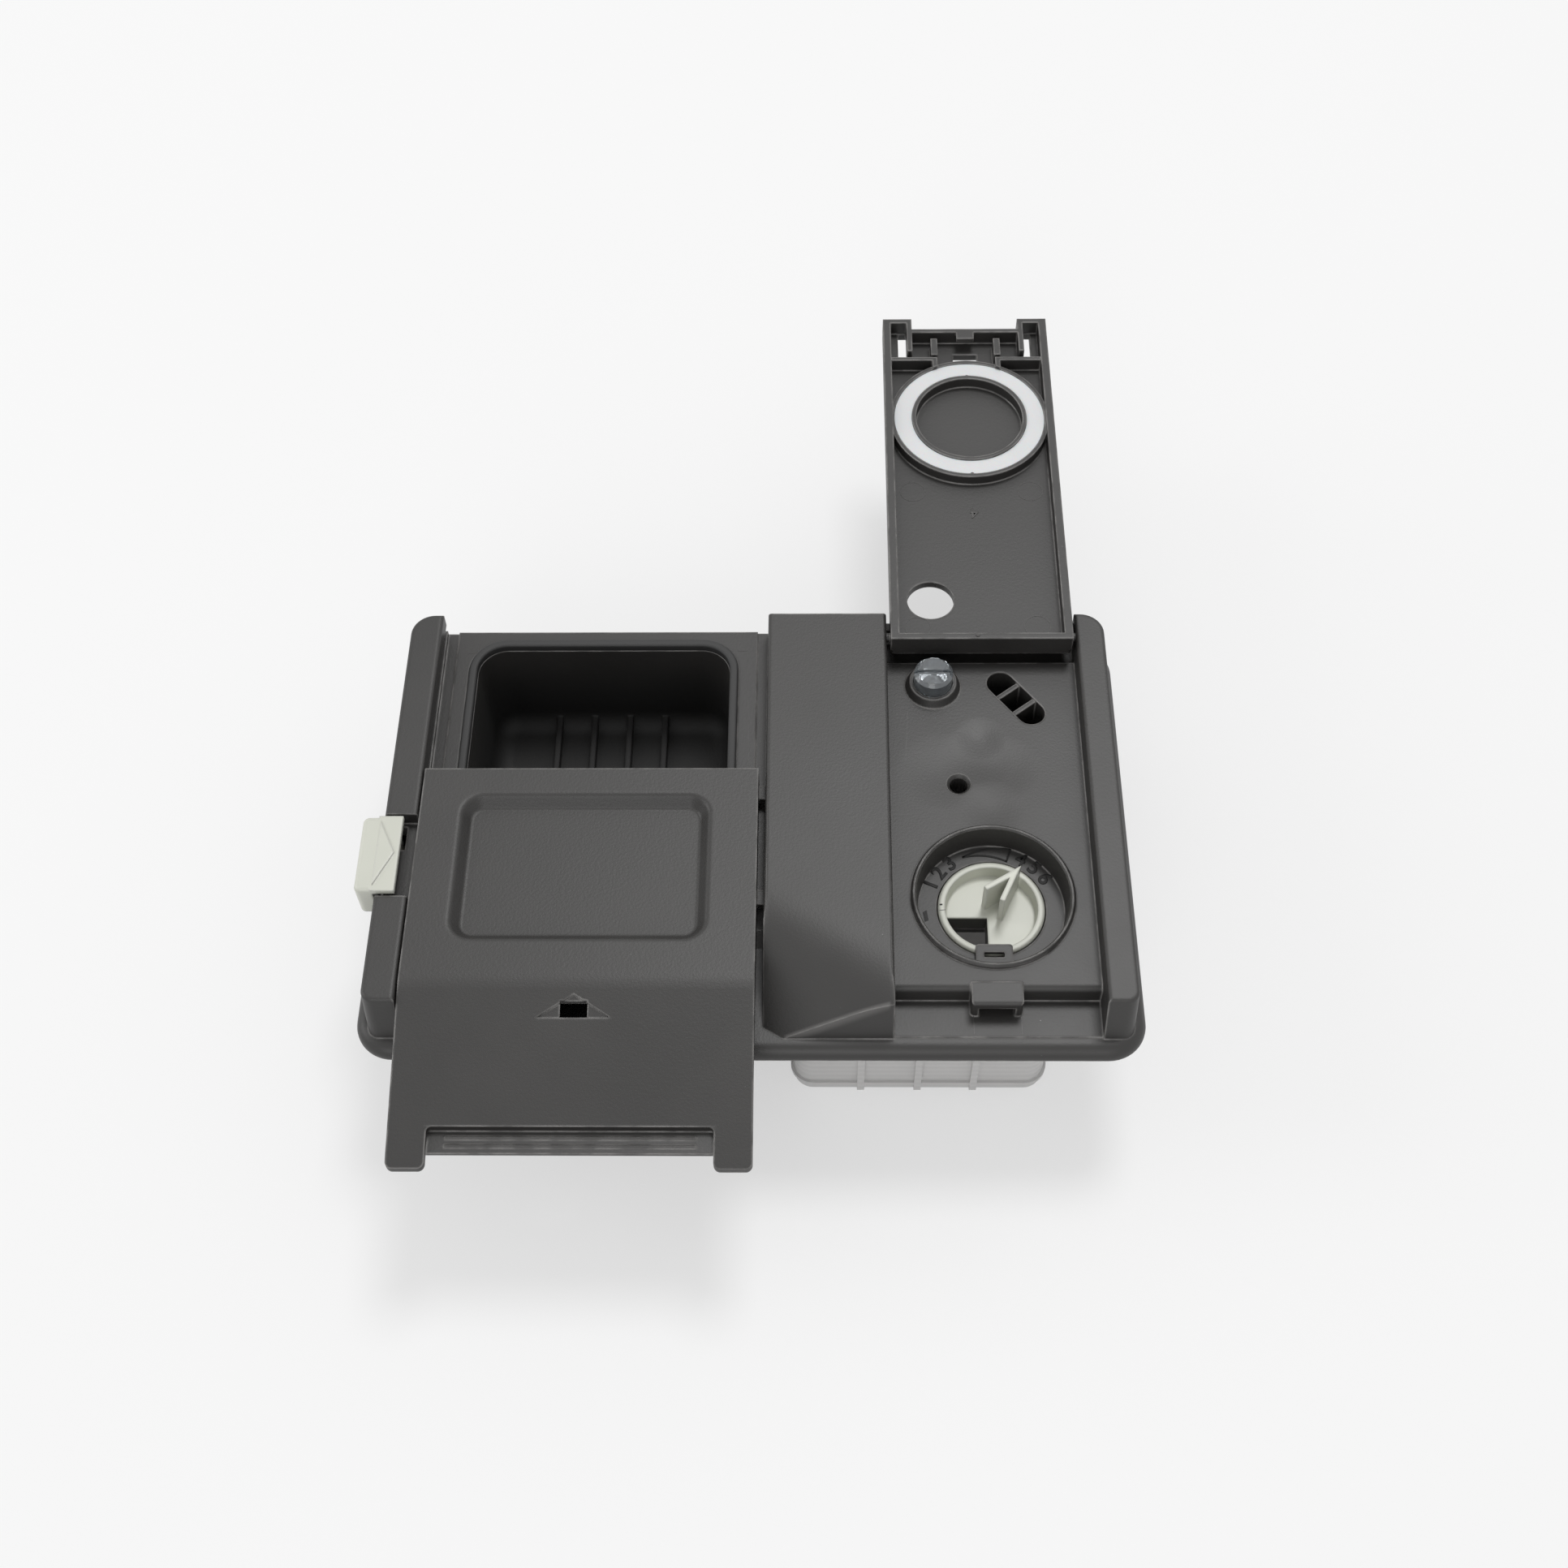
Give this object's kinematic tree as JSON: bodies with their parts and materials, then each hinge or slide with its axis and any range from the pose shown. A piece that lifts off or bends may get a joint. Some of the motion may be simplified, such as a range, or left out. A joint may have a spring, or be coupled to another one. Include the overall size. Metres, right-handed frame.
{
  "type": "detergent dispenser",
  "caption": "Dishwasher door dispenser: a dark moulded panel with a sliding cover over the detergent cup, a hinged rinse-aid lid, a dosing dial, a release button and a rear tank.",
  "frame": {"origin": "centre of the four door screws, in the plane of the flange's back face", "axes": "+X along the panel's width towards the rinse-aid side, +Y towards the rear edge where the lid's hinge is, +Z out of the door towards the wash side"},
  "size_m": [0.1894, 0.2575, 0.0572],
  "materials": {
    "dark_plastic": "fine moulded grain",
    "cover_plastic": "fine moulded grain",
    "light_plastic": "satin",
    "dark_rubber": "smooth",
    "white_seal": "smooth",
    "clear_lens": "clear",
    "tank_plastic": "translucent",
    "spring_steel": "drawn wire",
    "bracket_steel": "zinc plated",
    "terminal_brass": "plain",
    "coil_wrap": "wound and lacquered"
  },
  "bodies": {
    "base": {"panel_housing": "dark_plastic", "cup_seal": "dark_rubber", "door_gasket": "dark_rubber", "cover_spring": "spring_steel", "neck_seal": "dark_rubber", "indicator_lens": "clear_lens", "button_spring": "spring_steel", "latch_pin": "spring_steel", "actuator_coil": "coil_wrap", "terminal_tabs": "terminal_brass", "actuator_frame": "bracket_steel", "piston_spring": "spring_steel", "valve_body": "light_plastic", "mechanism_cover": "dark_plastic", "case_screws": "bracket_steel", "rinse_tank": "tank_plastic", "tank_top": "tank_plastic", "tank_screws": "bracket_steel"},
    "cover": {"sliding_cover": "cover_plastic"},
    "lid": {"rinse_lid": "dark_plastic", "lid_seal": "white_seal"},
    "dial": {"dosage_dial": "light_plastic", "dial_ring": "dark_rubber"},
    "button": {"release_button": "light_plastic"},
    "latch": {"latch_lever": "light_plastic"},
    "armature": {"actuator_plunger": "bracket_steel", "dosing_piston": "light_plastic"}
  },
  "joints": [
    {"name": "cover_slide", "type": "slide", "parent": "base", "child": "cover", "axis": [0, 1, 0], "range_m": [0, 0.048], "stiffness_N_per_m": 20, "springref_m": -0.02, "deforming": ["cover_spring"]},
    {"name": "lid_hinge", "type": "hinge", "parent": "base", "child": "lid", "pos_m": [0.05865, 0.0537, 0.0142], "axis": [1, 0, 0], "range_deg": [0, 180]},
    {"name": "dial_turn", "type": "hinge", "parent": "base", "child": "dial", "pos_m": [0.05865, -0.0216, 0], "axis": [0, 0, 1], "range_deg": [0, 88]},
    {"name": "button_press", "type": "slide", "parent": "base", "child": "button", "axis": [1, 0, 0], "range_m": [0, 0.0018], "stiffness_N_per_m": 600, "springref_m": -0.002, "deforming": ["button_spring"]},
    {"name": "latch_pivot", "type": "hinge", "parent": "base", "child": "latch", "pos_m": [-0.062, -0.0068, -0.006], "axis": [0, 1, 0], "range_deg": [0, 13.3]},
    {"name": "plunger_slide", "type": "slide", "parent": "base", "child": "armature", "axis": [-1, 0, 0], "range_m": [0, 0.0035], "deforming": ["piston_spring"]}
  ],
  "couplings": [
    {"joint": "latch_pivot", "follows": "button_press", "rad_per_m": 128},
    {"joint": "plunger_slide", "follows": "button_press", "ratio": 1.92}
  ]
}
